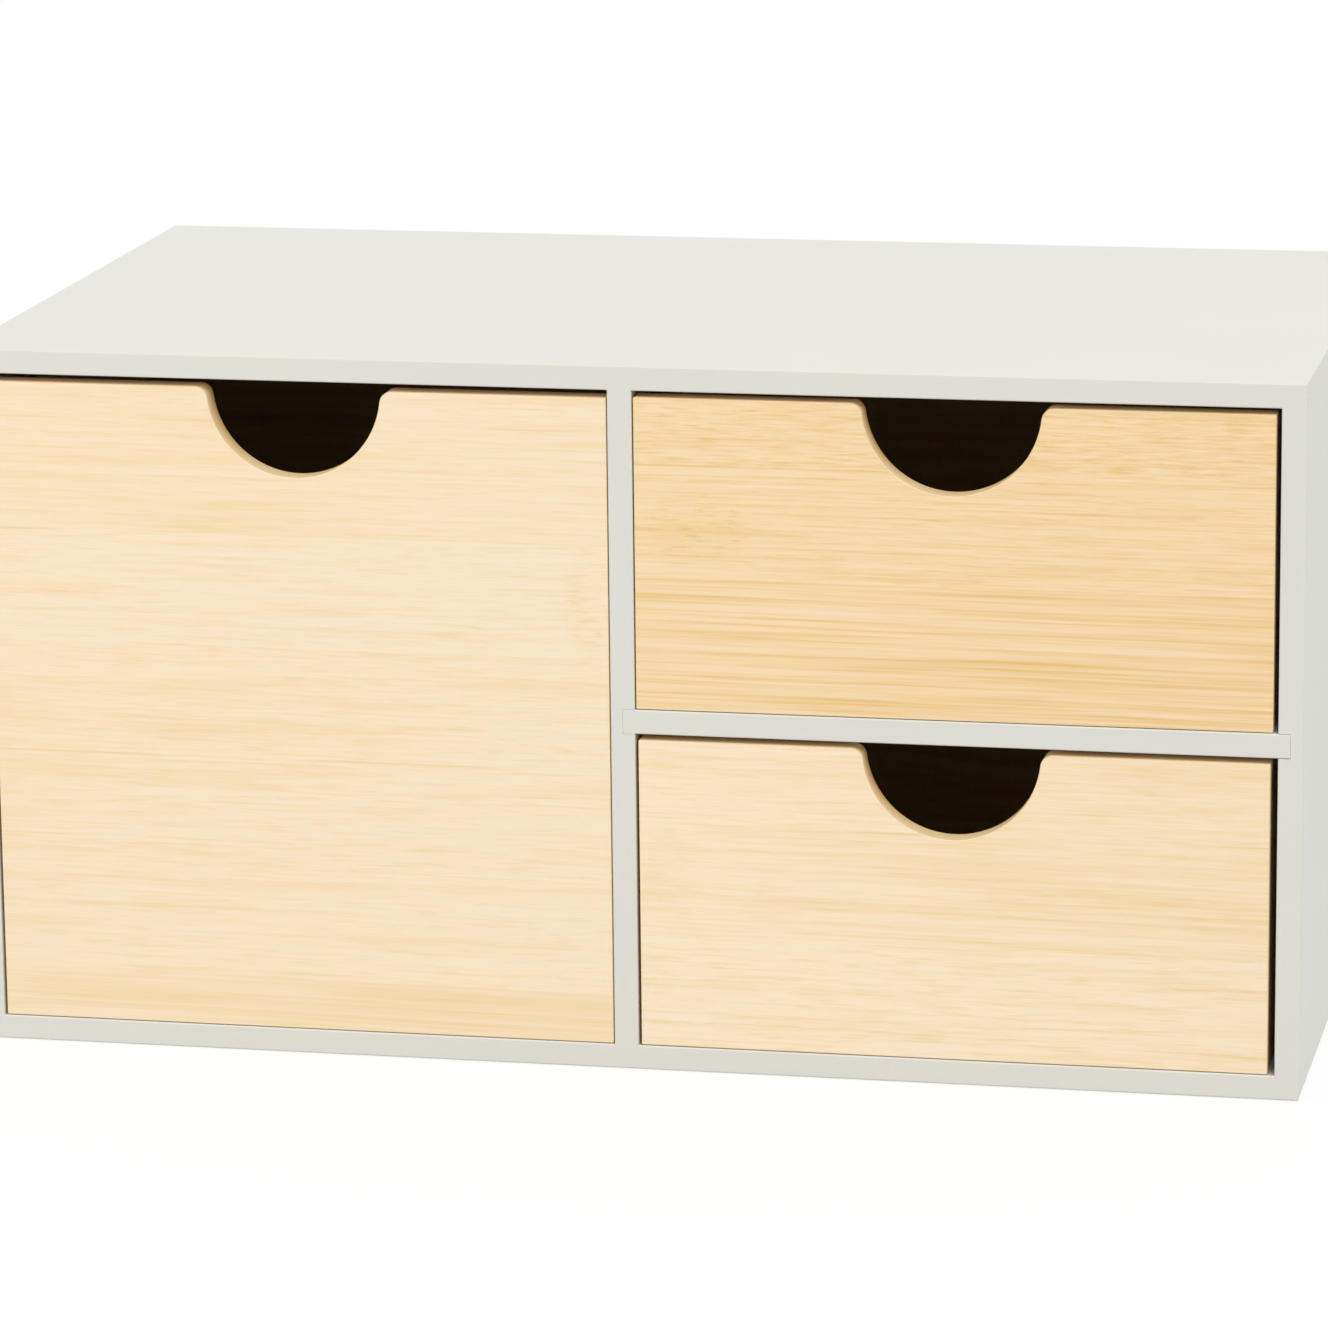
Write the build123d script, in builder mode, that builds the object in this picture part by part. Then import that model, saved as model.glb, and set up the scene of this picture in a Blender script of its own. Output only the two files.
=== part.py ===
from build123d import *
import os

# Desk unit with a painted board carcass and three bamboo-fronted drawers.
# A tall drawer fills the left bay and two low drawers share the right bay.
# Sizes are millimetres. +Z is up, the drawers open towards -Y, and the origin
# is the middle of the underside.

# Carcass sizes
carcass_width = 330.0
carcass_depth = 192.0
carcass_height = 175.0
board_thickness = 6.0
back_thickness = 3.0
left_bay_width = 156.0
lower_bay_height = 78.5
board_arris = 0.4
lip_setback = 0.15

# Small gap round pieces that are pushed into a groove, housing or rabbet
joint_play = 0.05

# Drawer front sizes
front_thickness = 6.0
front_recess = 0.3
front_foot_gap = 0.2
front_corner_radius = 0.4
front_edge_bevel = 0.15
notch_radius = 21.7
notch_drop = 0.2
notch_shoulder_radius = 3.0

# Gaps that each front leaves in its bay
large_left_gap = 0.7
large_right_gap = 0.3
large_top_gap = 1.95
upper_left_gap = 0.35
upper_right_gap = 1.3
upper_top_gap = 1.6
lower_left_gap = 0.75
lower_right_gap = 1.8
lower_top_gap = 1.5

# Drawer box sizes
wall_thickness = 5.0
bottom_thickness = 3.0
wall_arris = 0.5
box_setback = 0.3
box_top_drop = 3.0
glide_gap = 0.2
rear_gap = 0.5
bottom_lift = 4.0

# Wire brads: flat shank, T-shaped head and chisel tip
brad_width = 1.2
brad_gauge = 1.0
brad_head_width = 1.9
brad_head_height = 0.5
brad_tip_length = 1.6
brad_play = 0.02
carcass_brad_length = 18.0
back_brad_length = 10.0
drawer_brad_length = 14.0
filler_depth = 0.6

# Places of the brads, as shares of the length that they are spread over
depth_brad_shares = (0.12, 0.5, 0.88)
shelf_brad_shares = (0.2, 0.5, 0.8)
back_width_brad_shares = (0.07, 0.36, 0.64, 0.93)
back_height_brad_shares = (0.33, 0.67)
tall_brad_shares = (0.16, 0.5, 0.84)
low_brad_shares = (0.3, 0.75)

# How far every open cut runs past the face that it breaks
cut_overrun = 1.0

# Joints that go half way through the board that holds them
housing_depth = board_thickness / 2
corner_lip = board_thickness / 2
back_rabbet = board_thickness / 2
front_rabbet = front_thickness / 2
wall_groove = wall_thickness / 2

# Planes and limits of the carcass
front_y = -carcass_depth / 2
rear_y = carcass_depth / 2
back_y = rear_y - back_thickness
outer_x = carcass_width / 2
inner_x = outer_x - board_thickness
lip_x = outer_x - lip_setback
divider_left = left_bay_width - inner_x
divider_right = divider_left + board_thickness
shelf_foot = board_thickness + lower_bay_height
shelf_top = shelf_foot + board_thickness
ceiling = carcass_height - board_thickness
mid_height = Plane.XY.offset(carcass_height / 2)
front_plane = Plane.XZ.offset(-front_y)


def spread(low, high, shares):
    """Places between two limits, one for each share of the way."""
    return [low + (high - low) * share for share in shares]


def box_between(low, high, mode=Mode.ADD):
    """A square-edged block between two opposite corners."""
    size = Vector(*high) - Vector(*low)
    middle = (Vector(*high) + Vector(*low)) / 2
    with Locations(middle):
        Box(abs(size.X), abs(size.Y), abs(size.Z), mode=mode)


def make_brad(length, play=0.0):
    """A brad with its head at the origin and its tip down; play makes the hole that it fills."""
    half_head = brad_head_width / 2 + play
    half_shank = brad_width / 2 + play
    neck = -brad_head_height - play
    tip = -length - play
    with BuildPart() as brad:
        with BuildSketch(Plane.XZ):
            with BuildLine():
                Polyline(
                    (-half_head, play),
                    (half_head, play),
                    (half_head, neck),
                    (half_shank, neck),
                    (half_shank, tip + brad_tip_length),
                    (0, tip),
                    (-half_shank, tip + brad_tip_length),
                    (-half_shank, neck),
                    (-half_head, neck),
                    close=True,
                )
            make_face()
        extrude(amount=brad_gauge / 2 + play, both=True)
    return brad.part


def save(piece, name):
    """Names a finished piece and writes it to its own file."""
    piece.label = name
    export_step(piece, f"parts/{name}.step")


os.makedirs("parts", exist_ok=True)

# Brads of the carcass. They are driven before painting, punched below the
# surface and filled over, so each one lies in a hole that is blind outside.
carcass_brad = make_brad(carcass_brad_length)
carcass_brad_hole = make_brad(carcass_brad_length, brad_play)
side_middle = (inner_x + outer_x) / 2
divider_middle = (divider_left + divider_right) / 2
shelf_middle = (shelf_foot + shelf_top) / 2
bottom_brads = [
    Plane((x, y, filler_depth), x_dir=(0, 1, 0), z_dir=(0, 0, -1))
    for x in (-side_middle, divider_middle, side_middle)
    for y in spread(front_y, back_y, depth_brad_shares)
]
top_brads = [
    Plane((x, y, carcass_height - filler_depth), x_dir=(0, 1, 0), z_dir=(0, 0, 1))
    for x in (-side_middle, divider_middle, side_middle)
    for y in spread(front_y, back_y, depth_brad_shares)
]
shelf_brads = [
    Plane((x, y, shelf_middle), x_dir=(0, 1, 0), z_dir=(outward, 0, 0))
    for x, outward in ((divider_left + filler_depth, -1), (outer_x - filler_depth, 1))
    for y in spread(front_y, back_y, shelf_brad_shares)
]

# Brads of the back panel, driven from behind with their heads left flush
back_brad = make_brad(back_brad_length)
back_brad_hole = make_brad(back_brad_length, brad_play)
seat_x = inner_x + back_rabbet / 2
seat_foot = board_thickness - back_rabbet / 2
seat_top = ceiling + back_rabbet / 2
back_brad_points = [
    *((x, z) for x in spread(-inner_x, inner_x, back_width_brad_shares) for z in (seat_foot, seat_top)),
    *((x, z) for x in (-seat_x, divider_middle, seat_x)
      for z in spread(board_thickness, ceiling, back_height_brad_shares)),
    ((divider_right + inner_x) / 2, shelf_middle),
]
back_brads = [
    Plane((x, rear_y, z), x_dir=(1, 0, 0), z_dir=(0, 1, 0)) for x, z in back_brad_points
]

# Bottom panel: a lip at each end carries a side panel, a housing across the
# middle takes the divider, and a rabbet along the rear takes the back.
with BuildPart() as bottom_panel:
    with BuildSketch(front_plane):
        with BuildLine():
            Polyline(
                (-lip_x, 0),
                (lip_x, 0),
                (lip_x, corner_lip),
                (inner_x, corner_lip),
                (inner_x, board_thickness),
                (divider_right, board_thickness),
                (divider_right, board_thickness - housing_depth),
                (divider_left, board_thickness - housing_depth),
                (divider_left, board_thickness),
                (-inner_x, board_thickness),
                (-inner_x, corner_lip),
                (-lip_x, corner_lip),
                close=True,
            )
        make_face()
    extrude(amount=-carcass_depth)
    lip_corners = bottom_panel.edges().filter_by(Axis.Z).group_by(Axis.Z)[0]
    fillet(bottom_panel.faces().sort_by(Axis.Z)[0].edges() + lip_corners, board_arris)
    bay_edges = bottom_panel.edges().filter_by(Axis.X).group_by(Axis.Z)[-1]
    fillet(bay_edges.group_by(Axis.Y)[0], board_arris)
    box_between(
        (-outer_x, back_y, board_thickness - back_rabbet),
        (outer_x, rear_y + cut_overrun, board_thickness + cut_overrun),
        Mode.SUBTRACT,
    )
    with Locations(*bottom_brads):
        add(carcass_brad_hole, mode=Mode.SUBTRACT)
    with Locations(*back_brads):
        add(back_brad_hole, mode=Mode.SUBTRACT)

# Top panel: the same board turned over
with BuildPart() as top_panel:
    mirror(bottom_panel.part, about=mid_height)

# Side panels: each stands between the lips of the top and the bottom, with a
# rabbet along its rear edge for the back. The easing of the inner front edge
# stops at the bay, so the ends stay square beside the top and the bottom.
with BuildPart() as left_side_panel:
    with BuildSketch(Plane.XY.offset(corner_lip)) as side_plan:
        with BuildLine():
            Polyline(
                (-outer_x, front_y),
                (-inner_x, front_y),
                (-inner_x, back_y),
                (-inner_x - back_rabbet, back_y),
                (-inner_x - back_rabbet, rear_y),
                (-outer_x, rear_y),
                close=True,
            )
        make_face()
        rear_corner = side_plan.vertices().group_by(Axis.Y)[-1].sort_by(Axis.X)[0]
        fillet([*side_plan.vertices().group_by(Axis.Y)[0], rear_corner], board_arris)
    extrude(amount=carcass_height - corner_lip * 2)
    for foot, head in ((corner_lip, board_thickness), (ceiling, carcass_height - corner_lip)):
        box_between((-inner_x - board_arris, front_y, foot), (-inner_x, front_y + board_arris, head))
    with Locations(*bottom_brads, *top_brads):
        add(carcass_brad_hole, mode=Mode.SUBTRACT)
    with Locations(*back_brads):
        add(back_brad_hole, mode=Mode.SUBTRACT)

# The right side panel is also housed for the end of the shelf, which shows at
# the front edge.
with BuildPart() as right_side_panel:
    mirror(left_side_panel.part, about=Plane.YZ)
    box_between(
        (inner_x - cut_overrun, front_y - cut_overrun, shelf_foot - joint_play),
        (inner_x + housing_depth, back_y, shelf_top + joint_play),
        Mode.SUBTRACT,
    )
    with Locations(*shelf_brads):
        add(carcass_brad_hole, mode=Mode.SUBTRACT)

# Centre divider: its ends are square tongues that fill the housings in the top
# and the bottom, and its right face is housed for the shelf.
with BuildPart() as centre_divider:
    box_between((divider_left, front_y, board_thickness), (divider_right, back_y, ceiling))
    fillet(centre_divider.edges().filter_by(Axis.Z).group_by(Axis.Y)[0], board_arris)
    for foot in (board_thickness - housing_depth, ceiling):
        box_between((divider_left, front_y, foot), (divider_right, back_y, foot + housing_depth))
    box_between(
        (divider_right - housing_depth, front_y - cut_overrun, shelf_foot - joint_play),
        (divider_right + cut_overrun, back_y + cut_overrun, shelf_top + joint_play),
        Mode.SUBTRACT,
    )
    with Locations(*bottom_brads, *top_brads, *shelf_brads):
        add(carcass_brad_hole, mode=Mode.SUBTRACT)
    with Locations(*back_brads):
        add(back_brad_hole, mode=Mode.SUBTRACT)

# Right shelf: housed at both ends. Its front edge is eased from the divider to
# the right end, so the right end shows in the edge of the side panel, while
# the left end stays square and lies flush in the divider.
with BuildPart() as right_shelf:
    shelf_left = divider_right - housing_depth + joint_play
    box_between(
        (shelf_left, front_y, shelf_foot),
        (inner_x + housing_depth - joint_play, back_y, shelf_top),
    )
    fillet(right_shelf.edges().filter_by(Axis.X).group_by(Axis.Y)[0], board_arris)
    box_between((shelf_left, front_y, shelf_foot), (divider_right, front_y + board_arris, shelf_top))
    with Locations(*shelf_brads):
        add(carcass_brad_hole, mode=Mode.SUBTRACT)
    with Locations(*back_brads):
        add(back_brad_hole, mode=Mode.SUBTRACT)

# Back panel: thin board let into the rear rabbets, flush behind
with BuildPart() as back_panel:
    half_back = inner_x + back_rabbet - joint_play
    back_foot = board_thickness - back_rabbet + joint_play
    box_between((-half_back, back_y, back_foot), (half_back, rear_y, carcass_height - back_foot))
    with Locations(*back_brads):
        add(back_brad_hole, mode=Mode.SUBTRACT)

with BuildPart() as carcass_brads:
    with Locations(*bottom_brads, *top_brads, *shelf_brads):
        add(carcass_brad)

with BuildPart() as back_panel_brads:
    with Locations(*back_brads):
        add(back_brad)

save(top_panel.part, "top_panel")
save(bottom_panel.part, "bottom_panel")
save(left_side_panel.part, "left_side_panel")
save(right_side_panel.part, "right_side_panel")
save(centre_divider.part, "centre_divider")
save(right_shelf.part, "right_shelf")
save(back_panel.part, "back_panel")
save(carcass_brads.part, "carcass_brads")
save(back_panel_brads.part, "back_panel_brads")

# Limits that all the drawers share
front_face_y = front_y + front_recess
front_inner_y = front_face_y + front_thickness
wall_front_y = front_inner_y - front_rabbet + joint_play
box_rear_y = back_y - rear_gap
back_wall_y = box_rear_y - wall_thickness
drawer_brad = make_brad(drawer_brad_length)
drawer_brad_hole = make_brad(drawer_brad_length, brad_play)


def make_drawer(name, bay_low, bay_high, left_gap, right_gap, top_gap, brad_shares):
    """One drawer, fitted to the bay between two (x, z) corners and written piece by piece."""
    front_left = bay_low[0] + left_gap
    front_right = bay_high[0] - right_gap
    front_foot = bay_low[1] + front_foot_gap
    front_top = bay_high[1] - top_gap
    middle = (front_left + front_right) / 2
    mid_plane = Plane.YZ.offset(middle)
    box_left = front_left + box_setback
    wall_inner = box_left + wall_thickness
    half_inside = middle - wall_inner
    box_foot = bay_low[1] + glide_gap
    box_top = front_top - box_top_drop
    bottom_foot = box_foot + bottom_lift
    bottom_top = bottom_foot + bottom_thickness
    groove_foot = bottom_foot - joint_play
    groove_top = bottom_top + joint_play
    brads = [
        Plane((middle + hand * (middle - box_left), y, z), x_dir=(0, 0, 1), z_dir=(hand, 0, 0))
        for hand in (-1, 1)
        for y in (front_inner_y - front_rabbet / 2, back_wall_y + wall_thickness / 2)
        for z in spread(box_foot, box_top, brad_shares)
    ]

    # Front: bamboo board with a half-round finger notch whose shoulders are
    # rounded over. Its ends are rabbeted behind for the walls, its inner face
    # is grooved for the bottom, and its face edges have a fine bevel all round.
    with BuildPart() as front:
        with BuildSketch(Plane.XZ.offset(-front_inner_y)) as outline:
            with Locations((middle, (front_foot + front_top) / 2)):
                RectangleRounded(front_right - front_left, front_top - front_foot, front_corner_radius)
            with Locations((middle, front_top - notch_drop)):
                Circle(notch_radius, mode=Mode.SUBTRACT)
            top_corners = outline.vertices().group_by(Axis.Y)[-1]
            shoulders = top_corners.sort_by(lambda corner: abs(corner.X - middle))[:2]
            fillet(shoulders, notch_shoulder_radius)
        extrude(amount=front_thickness)
        chamfer(front.faces().sort_by(Axis.Y)[0].edges(), front_edge_bevel)
        for hand in (-1, 1):
            box_between(
                (middle + hand * (half_inside - joint_play),
                 front_inner_y - front_rabbet,
                 front_foot - cut_overrun),
                (middle + hand * (front_right - middle + cut_overrun),
                 front_inner_y + cut_overrun,
                 box_top + joint_play),
                Mode.SUBTRACT,
            )
        box_between(
            (middle - half_inside, front_inner_y - front_rabbet, groove_foot),
            (middle + half_inside, front_inner_y + cut_overrun, groove_top),
            Mode.SUBTRACT,
        )
        with Locations(*brads):
            add(drawer_brad_hole, mode=Mode.SUBTRACT)

    # Side walls: grooved along the inside for the bottom and rabbeted at the
    # rear end for the back wall, with the upper edges eased.
    with BuildPart() as left_side:
        with BuildSketch(Plane.XZ.offset(-wall_front_y)):
            with BuildLine():
                Polyline(
                    (box_left, box_foot),
                    (wall_inner, box_foot),
                    (wall_inner, groove_foot),
                    (wall_inner - wall_groove, groove_foot),
                    (wall_inner - wall_groove, groove_top),
                    (wall_inner, groove_top),
                    (wall_inner, box_top),
                    (box_left, box_top),
                    close=True,
                )
            make_face()
        extrude(amount=wall_front_y - box_rear_y)
        fillet(left_side.edges().filter_by(Axis.Y).group_by(Axis.Z)[-1], wall_arris)
        box_between(
            (wall_inner - wall_groove, back_wall_y - joint_play, box_foot - cut_overrun),
            (wall_inner + cut_overrun, box_rear_y + cut_overrun, box_top + cut_overrun),
            Mode.SUBTRACT,
        )
        with Locations(*brads):
            add(drawer_brad_hole, mode=Mode.SUBTRACT)

    with BuildPart() as right_side:
        mirror(left_side.part, about=mid_plane)

    # Back wall: let into both side walls and grooved inside for the bottom
    half_back_wall = half_inside + wall_groove - joint_play
    with BuildPart() as back:
        with BuildSketch(Plane.YZ.offset(middle)):
            with BuildLine():
                Polyline(
                    (back_wall_y, box_foot),
                    (box_rear_y, box_foot),
                    (box_rear_y, box_top),
                    (back_wall_y, box_top),
                    (back_wall_y, groove_top),
                    (back_wall_y + wall_groove, groove_top),
                    (back_wall_y + wall_groove, groove_foot),
                    (back_wall_y, groove_foot),
                    close=True,
                )
            make_face()
        extrude(amount=half_back_wall, both=True)
        fillet(back.edges().filter_by(Axis.X).group_by(Axis.Z)[-1], wall_arris)
        with Locations(*brads):
            add(drawer_brad_hole, mode=Mode.SUBTRACT)

    # Bottom: thin sheet held in the grooves on all four sides
    with BuildPart() as bottom:
        box_between(
            (middle - half_back_wall, wall_front_y, bottom_foot),
            (middle + half_back_wall, back_wall_y + wall_groove - joint_play, bottom_top),
        )

    with BuildPart() as wall_brads:
        with Locations(*brads):
            add(drawer_brad)

    save(front.part, f"{name}_front")
    save(left_side.part, f"{name}_left_side")
    save(right_side.part, f"{name}_right_side")
    save(back.part, f"{name}_back")
    save(bottom.part, f"{name}_bottom")
    save(wall_brads.part, f"{name}_brads")


make_drawer(
    "large_drawer",
    (-inner_x, board_thickness),
    (divider_left, ceiling),
    large_left_gap,
    large_right_gap,
    large_top_gap,
    tall_brad_shares,
)
make_drawer(
    "upper_drawer",
    (divider_right, shelf_top),
    (inner_x, ceiling),
    upper_left_gap,
    upper_right_gap,
    upper_top_gap,
    low_brad_shares,
)
make_drawer(
    "lower_drawer",
    (divider_right, board_thickness),
    (inner_x, shelf_foot),
    lower_left_gap,
    lower_right_gap,
    lower_top_gap,
    low_brad_shares,
)
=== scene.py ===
from math import radians

import bpy
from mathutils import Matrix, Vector


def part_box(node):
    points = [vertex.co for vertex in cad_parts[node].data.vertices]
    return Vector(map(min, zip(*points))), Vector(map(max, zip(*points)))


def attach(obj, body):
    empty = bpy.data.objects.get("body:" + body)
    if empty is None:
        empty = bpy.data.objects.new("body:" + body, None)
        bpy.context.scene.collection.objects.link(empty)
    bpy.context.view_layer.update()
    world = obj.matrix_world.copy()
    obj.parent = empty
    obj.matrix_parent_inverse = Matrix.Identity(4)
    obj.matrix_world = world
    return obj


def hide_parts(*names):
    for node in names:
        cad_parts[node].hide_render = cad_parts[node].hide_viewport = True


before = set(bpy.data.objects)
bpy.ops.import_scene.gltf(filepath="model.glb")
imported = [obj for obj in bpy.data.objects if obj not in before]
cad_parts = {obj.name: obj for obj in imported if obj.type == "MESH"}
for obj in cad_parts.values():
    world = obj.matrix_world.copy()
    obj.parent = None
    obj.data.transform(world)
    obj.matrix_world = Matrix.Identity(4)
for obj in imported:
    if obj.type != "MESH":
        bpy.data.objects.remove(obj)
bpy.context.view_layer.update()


# Carcass: the bottom, sides, divider, shelf and top are fine fibreboard,
# rabbeted and housed into each other, glued and bradded, then filled, sanded
# and sprayed all over with a satin warm grey paint.
MM_PER_METRE = 1000.0


def put(tree, kind, inputs=None, **settings):
    """Adds one node; each input is a plain value or a socket to link from."""
    made = tree.nodes.new(kind)
    for key, value in settings.items():
        setattr(made, key, value)
    for key, value in (inputs or {}).items():
        if isinstance(value, bpy.types.NodeSocket):
            tree.links.new(value, made.inputs[key])
        else:
            made.inputs[key].default_value = value
    return made


def maths(tree, operation, *values):
    """The result of one Math node on plain numbers or sockets."""
    return put(tree, "ShaderNodeMath", dict(enumerate(values)), operation=operation).outputs[0]


def ramp(tree, value, low, high):
    """0 below low, 1 above high, and a soft step between them."""
    inputs = {"Value": value, "From Min": low, "From Max": high}
    return put(tree, "ShaderNodeMapRange", inputs, interpolation_type="SMOOTHSTEP").outputs[0]


def blend(tree, share, first, second):
    """One colour that goes over into another; the node has its colours at 6 and 7."""
    inputs = {0: share, 6: first, 7: second}
    return put(tree, "ShaderNodeMix", inputs, data_type="RGBA").outputs[2]


def noise(tree, place, detail=2.0, roughness=0.5):
    """Soft noise from 0 to 1, one lump to each unit of place."""
    inputs = {"Vector": place, "Scale": 1.0, "Detail": detail, "Roughness": roughness}
    return put(tree, "ShaderNodeTexNoise", inputs).outputs[0]


def joined(tree, x, y, z):
    """Three numbers as one vector."""
    return put(tree, "ShaderNodeCombineXYZ", {0: x, 1: y, 2: z}).outputs[0]


def split(tree, vector):
    """A vector as its three numbers, by place or by letter."""
    return put(tree, "ShaderNodeSeparateXYZ", {0: vector}).outputs


def scaled(tree, vector, factor):
    """A vector made longer or shorter."""
    return put(tree, "ShaderNodeVectorMath", {0: vector, "Scale": factor}, operation="SCALE").outputs[0]


def stretched(tree, place, sizes):
    """A place divided by the size of a lump along each axis."""
    inputs = {0: place, 1: [1 / size for size in sizes]}
    return put(tree, "ShaderNodeVectorMath", inputs, operation="MULTIPLY").outputs[0]


def start_group(name, takes, gives):
    """An empty shader group with named sockets: its tree, inlets and outlets."""
    tree = bpy.data.node_groups.new(name, "ShaderNodeTree")
    for label, value in takes.items():
        kind = "NodeSocketFloat" if isinstance(value, float) else "NodeSocketVector"
        tree.interface.new_socket(label, in_out="INPUT", socket_type=kind).default_value = value
    for label, kind in gives.items():
        tree.interface.new_socket(label, in_out="OUTPUT", socket_type=kind)
    inlets = tree.nodes.new("NodeGroupInput").outputs
    outlets = tree.nodes.new("NodeGroupOutput").inputs
    return tree, inlets, outlets


def place_group(tree, group, inputs):
    """Puts a finished group in a tree and gives its outlets."""
    return put(tree, "ShaderNodeGroup", inputs, node_tree=group).outputs


def start_material(name):
    """A plain material: itself, its tree, its shader, and the place in millimetres and the normal on it."""
    material = bpy.data.materials.new(name)
    material.use_nodes = True
    tree = material.node_tree
    coordinates = tree.nodes.new("ShaderNodeTexCoord").outputs
    place = scaled(tree, coordinates["Object"], MM_PER_METRE)
    return material, tree, tree.nodes["Principled BSDF"], place, coordinates["Normal"]


def raise_surface(tree, shader, height, distance):
    """Fine relief, with its full depth given in metres."""
    bump = put(tree, "ShaderNodeBump", {"Height": height, "Distance": distance, "Strength": 1.0})
    tree.links.new(bump.outputs[0], shader.inputs["Normal"])


def finish_pieces(material, *names):
    """Gives CAD pieces their finish."""
    for name in names:
        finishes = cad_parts[name].data.materials
        finishes.clear()
        finishes.append(material)


# sprayed paint: orange peel over the whole surface, raised fibres where a cut
# edge of the board drank the first coat, and a slow drift of the coat's tone
DRIFT_SIZE = (60.0, 60.0, 60.0)
FIBRE_LIFT = 1.5
SPECK_MEAN = 0.25
SPECK_SHARE = 0.3
coat, coat_in, coat_out = start_group(
    "sprayed_coat",
    {"Place": (0.0, 0.0, 0.0), "Cut Edge": 0.0, "Peel Size": 1.4, "Fibre Size": 0.5},
    {"Tone": "NodeSocketFloat", "Height": "NodeSocketFloat"},
)
drift = noise(coat, stretched(coat, coat_in["Place"], DRIFT_SIZE), detail=3.0)
peel_place = scaled(coat, coat_in["Place"], maths(coat, "DIVIDE", 1.0, coat_in["Peel Size"]))
peel = noise(coat, peel_place, detail=1.0)
fibre_place = scaled(coat, coat_in["Place"], maths(coat, "DIVIDE", 1.0, coat_in["Fibre Size"]))
fibres = noise(coat, fibre_place, detail=2.0, roughness=0.6)
raised = maths(coat, "MULTIPLY", fibres, coat_in["Cut Edge"])
speck = maths(coat, "SUBTRACT", raised, SPECK_MEAN)
coat.links.new(maths(coat, "MULTIPLY_ADD", speck, SPECK_SHARE, drift), coat_out["Tone"])
coat.links.new(maths(coat, "ADD", peel, maths(coat, "MULTIPLY", raised, FIBRE_LIFT)), coat_out["Height"])

FACING_RANGE = (0.5, 0.9)
TONE_RANGE = (0.2, 0.8)
EDGE_ROUGHENING = 0.08


def paint_finish(name, light, dark, roughness, relief, peel_size, edge_axis):
    """Sprayed paint on board, where edge_axis is the normal of its cut edges."""
    material, tree, shader, place, normal = start_material(name)
    facing = split(tree, normal)[edge_axis]
    cut_edge = ramp(tree, maths(tree, "ABSOLUTE", facing), *FACING_RANGE)
    look = place_group(tree, coat, {"Place": place, "Cut Edge": cut_edge, "Peel Size": peel_size})
    colour = blend(tree, ramp(tree, look["Tone"], *TONE_RANGE), dark, light)
    tree.links.new(colour, shader.inputs["Base Color"])
    matt = maths(tree, "MULTIPLY_ADD", cut_edge, EDGE_ROUGHENING, roughness)
    tree.links.new(matt, shader.inputs["Roughness"])
    raise_surface(tree, shader, look["Height"], relief)
    return material


carcass_paint = paint_finish(
    "carcass_paint", light=(0.735, 0.725, 0.662, 1.0), dark=(0.715, 0.705, 0.643, 1.0),
    roughness=0.32, relief=0.000008, peel_size=1.4, edge_axis="Y",
)
finish_pieces(
    carcass_paint,
    "bottom_panel", "left_side_panel", "right_side_panel", "centre_divider", "right_shelf", "top_panel",
)


# Brads: bright drawn wire with a T-shaped head, shot from an air gun. The ones
# in the carcass boards are filled and painted over, so only their steel core
# is there. The others show their heads, each a little turned and sunk.
BRIGHT_WIRE = (0.62, 0.61, 0.58, 1.0)
TARNISHED_WIRE = (0.43, 0.4, 0.35, 1.0)
TARNISH_SIZE = (6.0, 6.0, 6.0)
TARNISH_RANGE = (0.35, 0.7)
DIE_MARK_SIZE = (0.12, 0.12, 0.12)
DIE_MARK_DEPTH = 0.000008
DIE_MARK_ROUGHENING = 0.25
WIRE_ROUGHNESS = 0.2


def drawn_steel(name):
    """Bright wire with fine marks of the drawing die and a little tarnish."""
    material, tree, shader, place, _ = start_material(name)
    marks = noise(tree, stretched(tree, place, DIE_MARK_SIZE))
    tarnish = noise(tree, stretched(tree, place, TARNISH_SIZE))
    colour = blend(tree, ramp(tree, tarnish, *TARNISH_RANGE), BRIGHT_WIRE, TARNISHED_WIRE)
    tree.links.new(colour, shader.inputs["Base Color"])
    shader.inputs["Metallic"].default_value = 1.0
    matt = maths(tree, "MULTIPLY_ADD", marks, DIE_MARK_ROUGHENING, WIRE_ROUGHNESS)
    tree.links.new(matt, shader.inputs["Roughness"])
    raise_surface(tree, shader, marks, DIE_MARK_DEPTH)
    return material


brad_steel = drawn_steel("bright_wire")
finish_pieces(brad_steel, "carcass_brads")

# one brad hangs from its head at the origin and is set at every point, with
# its head facing outward and the head's long side lying along
brad_rows = bpy.data.node_groups.new("brad_rows", "GeometryNodeTree")
brad_rows.interface.new_socket("Geometry", in_out="INPUT", socket_type="NodeSocketGeometry")
for label, value in {
    "Length": 0.014, "Head Length": 0.0019, "Head Height": 0.0005, "Shank Width": 0.0012,
    "Gauge": 0.001, "Tip Length": 0.0016, "Turn": 0.12, "Sink": 0.00005,
}.items():
    brad_rows.interface.new_socket(label, in_out="INPUT", socket_type="NodeSocketFloat").default_value = value
brad_rows.interface.new_socket("Seed", in_out="INPUT", socket_type="NodeSocketInt").default_value = 1
brad_rows.interface.new_socket("Material", in_out="INPUT", socket_type="NodeSocketMaterial")
brad_rows.interface.new_socket("Geometry", in_out="OUTPUT", socket_type="NodeSocketGeometry")
asked = brad_rows.nodes.new("NodeGroupInput").outputs


def block(tree, width, gauge, height, top):
    """A block of wire whose upper face lies at a height."""
    cube = put(tree, "GeometryNodeMeshCube", {"Size": joined(tree, width, gauge, height)}).outputs[0]
    middle = maths(tree, "MULTIPLY_ADD", height, -0.5, top)
    moved = {"Geometry": cube, "Translation": joined(tree, 0.0, 0.0, middle)}
    return put(tree, "GeometryNodeTransform", moved).outputs[0]


def random_number(tree, least, most, seed):
    """A random number for each point; the node has its range at 2 and 3 and its seed at 8."""
    return put(tree, "FunctionNodeRandomValue", {2: least, 3: most, 8: seed}).outputs[1]


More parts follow.
